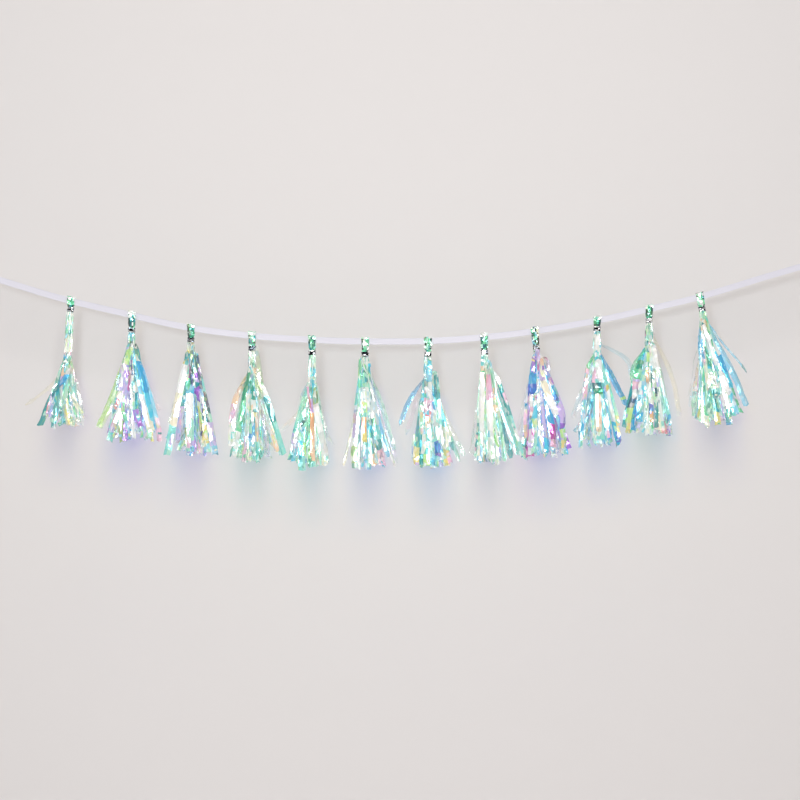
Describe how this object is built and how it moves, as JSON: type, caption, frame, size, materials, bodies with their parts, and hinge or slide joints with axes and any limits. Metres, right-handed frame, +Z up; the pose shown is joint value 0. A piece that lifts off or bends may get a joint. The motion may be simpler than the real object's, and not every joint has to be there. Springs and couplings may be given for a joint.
{
  "type": "tassel garland",
  "caption": "Garland of strip-cut iridescent film tassels, each tied with foil and looped over a flat satin ribbon that ends in a knotted hanging loop at each side.",
  "frame": {"origin": "where the left hook bears, on the flat facet inside the tip of the left hanging loop", "axes": "+X along the garland to the right as seen from the room, +Y to the wall behind it, +Z up"},
  "size_m": [1.4163, 0.0493, 0.3468],
  "materials": {
    "satin_ribbon": "pale lilac-white satin weave with a soft sheen",
    "foil_tie": "crumpled silver foil, bright with black reflections",
    "loop_film": "crinkled iridescent film, green to teal",
    "fringe_film": "thin see-through iridescent film that shifts from white to aqua, blue, pink, violet and gold"
  },
  "bodies": {
    "ribbon": {"ribbon": "satin_ribbon", "left_knot": "satin_ribbon", "left_hanging_loop": "satin_ribbon", "right_knot": "satin_ribbon", "right_hanging_loop": "satin_ribbon"},
    "tassel_01": {"tassel_01_loop": "loop_film", "tassel_01_tie": "foil_tie"},
    "tassel_01_skirt": {"tassel_01_fringe": "fringe_film"},
    "tassel_02": {"tassel_02_loop": "loop_film", "tassel_02_tie": "foil_tie"},
    "tassel_02_skirt": {"tassel_02_fringe": "fringe_film"},
    "tassel_03": {"tassel_03_loop": "loop_film", "tassel_03_tie": "foil_tie"},
    "tassel_03_skirt": {"tassel_03_fringe": "fringe_film"},
    "tassel_04": {"tassel_04_loop": "loop_film", "tassel_04_tie": "foil_tie"},
    "tassel_04_skirt": {"tassel_04_fringe": "fringe_film"},
    "tassel_05": {"tassel_05_loop": "loop_film", "tassel_05_tie": "foil_tie"},
    "tassel_05_skirt": {"tassel_05_fringe": "fringe_film"},
    "tassel_06": {"tassel_06_loop": "loop_film", "tassel_06_tie": "foil_tie"},
    "tassel_06_skirt": {"tassel_06_fringe": "fringe_film"},
    "tassel_07": {"tassel_07_loop": "loop_film", "tassel_07_tie": "foil_tie"},
    "tassel_07_skirt": {"tassel_07_fringe": "fringe_film"},
    "tassel_08": {"tassel_08_loop": "loop_film", "tassel_08_tie": "foil_tie"},
    "tassel_08_skirt": {"tassel_08_fringe": "fringe_film"},
    "tassel_09": {"tassel_09_loop": "loop_film", "tassel_09_tie": "foil_tie"},
    "tassel_09_skirt": {"tassel_09_fringe": "fringe_film"},
    "tassel_10": {"tassel_10_loop": "loop_film", "tassel_10_tie": "foil_tie"},
    "tassel_10_skirt": {"tassel_10_fringe": "fringe_film"},
    "tassel_11": {"tassel_11_loop": "loop_film", "tassel_11_tie": "foil_tie"},
    "tassel_11_skirt": {"tassel_11_fringe": "fringe_film"},
    "tassel_12": {"tassel_12_loop": "loop_film", "tassel_12_tie": "foil_tie"},
    "tassel_12_skirt": {"tassel_12_fringe": "fringe_film"}
  },
  "joints": [
    {"name": "tassel_01_slide", "type": "slide", "parent": "ribbon", "child": "tassel_01", "axis": [0.969, 0, -0.2471], "range_m": [-0.02, 0.022]},
    {"name": "tassel_01_swing", "type": "hinge", "parent": "tassel_01", "child": "tassel_01_skirt", "pos_m": [0.1792, 0, -0.07582], "axis": [0.9981, 0, -0.061], "range_deg": [-60, 60]},
    {"name": "tassel_02_slide", "type": "slide", "parent": "ribbon", "child": "tassel_02", "axis": [0.9738, 0, -0.2274], "range_m": [-0.024, 0.02]},
    {"name": "tassel_02_swing", "type": "hinge", "parent": "tassel_02", "child": "tassel_02_skirt", "pos_m": [0.27749, 0, -0.10909], "axis": [0.9998, 0, -0.0175], "range_deg": [-60, 60]},
    {"name": "tassel_03_slide", "type": "slide", "parent": "ribbon", "child": "tassel_03", "axis": [0.9857, 0, -0.1684], "range_m": [-0.017, 0.019]},
    {"name": "tassel_03_swing", "type": "hinge", "parent": "tassel_03", "child": "tassel_03_skirt", "pos_m": [0.37248, 0, -0.12433], "axis": [1, 0, 0], "range_deg": [-60, 60]},
    {"name": "tassel_04_slide", "type": "slide", "parent": "ribbon", "child": "tassel_04", "axis": [0.9954, 0, -0.0956], "range_m": [-0.018, 0.011]},
    {"name": "tassel_04_swing", "type": "hinge", "parent": "tassel_04", "child": "tassel_04_skirt", "pos_m": [0.4702, 0, -0.1379], "axis": [1, 0, 0], "range_deg": [-60, 60]},
    {"name": "tassel_05_slide", "type": "slide", "parent": "ribbon", "child": "tassel_05", "axis": [0.9989, 0, -0.047], "range_m": [-0.011, 0.019]},
    {"name": "tassel_05_swing", "type": "hinge", "parent": "tassel_05", "child": "tassel_05_skirt", "pos_m": [0.56618, 0, -0.14472], "axis": [1, 0, 0], "range_deg": [-60, 60]},
    {"name": "tassel_06_slide", "type": "slide", "parent": "ribbon", "child": "tassel_06", "axis": [0.9999, 0, -0.0106], "range_m": [-0.018, 0.011]},
    {"name": "tassel_06_swing", "type": "hinge", "parent": "tassel_06", "child": "tassel_06_skirt", "pos_m": [0.651, 0, -0.14775], "axis": [1, 0, 0], "range_deg": [-60, 60]},
    {"name": "tassel_07_slide", "type": "slide", "parent": "ribbon", "child": "tassel_07", "axis": [0.9994, 0, 0.0341], "range_m": [-0.011, 0.018]},
    {"name": "tassel_07_swing", "type": "hinge", "parent": "tassel_07", "child": "tassel_07_skirt", "pos_m": [0.75175, 0, -0.14725], "axis": [1, 0, 0], "range_deg": [-60, 60]},
    {"name": "tassel_08_slide", "type": "slide", "parent": "ribbon", "child": "tassel_08", "axis": [0.9955, 0, 0.0949], "range_m": [-0.018, 0.004]},
    {"name": "tassel_08_swing", "type": "hinge", "parent": "tassel_08", "child": "tassel_08_skirt", "pos_m": [0.84244, 0, -0.14429], "axis": [0.9994, 0, 0.0349], "range_deg": [-60, 60]},
    {"name": "tassel_09_slide", "type": "slide", "parent": "ribbon", "child": "tassel_09", "axis": [0.9893, 0, 0.1458], "range_m": [-0.004, 0.007]},
    {"name": "tassel_09_swing", "type": "hinge", "parent": "tassel_09", "child": "tassel_09_skirt", "pos_m": [0.92599, 0, -0.13748], "axis": [0.9945, 0, 0.1045], "range_deg": [-60, 60]},
    {"name": "tassel_10_slide", "type": "slide", "parent": "ribbon", "child": "tassel_10", "axis": [0.9817, 0, 0.1904], "range_m": [-0.007, 0.006]},
    {"name": "tassel_10_swing", "type": "hinge", "parent": "tassel_10", "child": "tassel_10_skirt", "pos_m": [1.02222, 0, -0.10661], "axis": [1, 0, 0], "range_deg": [-60, 60]},
    {"name": "tassel_11_slide", "type": "slide", "parent": "ribbon", "child": "tassel_11", "axis": [0.9741, 0, 0.2259], "range_m": [-0.006, 0.025]},
    {"name": "tassel_11_swing", "type": "hinge", "parent": "tassel_11", "child": "tassel_11_skirt", "pos_m": [1.10539, 0, -0.09392], "axis": [1, 0, 0], "range_deg": [-60, 60]},
    {"name": "tassel_12_slide", "type": "slide", "parent": "ribbon", "child": "tassel_12", "axis": [0.9648, 0, 0.2631], "range_m": [-0.018, 0.018]},
    {"name": "tassel_12_swing", "type": "hinge", "parent": "tassel_12", "child": "tassel_12_skirt", "pos_m": [1.19144, 0, -0.07554], "axis": [0.9877, 0, 0.1564], "range_deg": [-60, 60]}
  ]
}
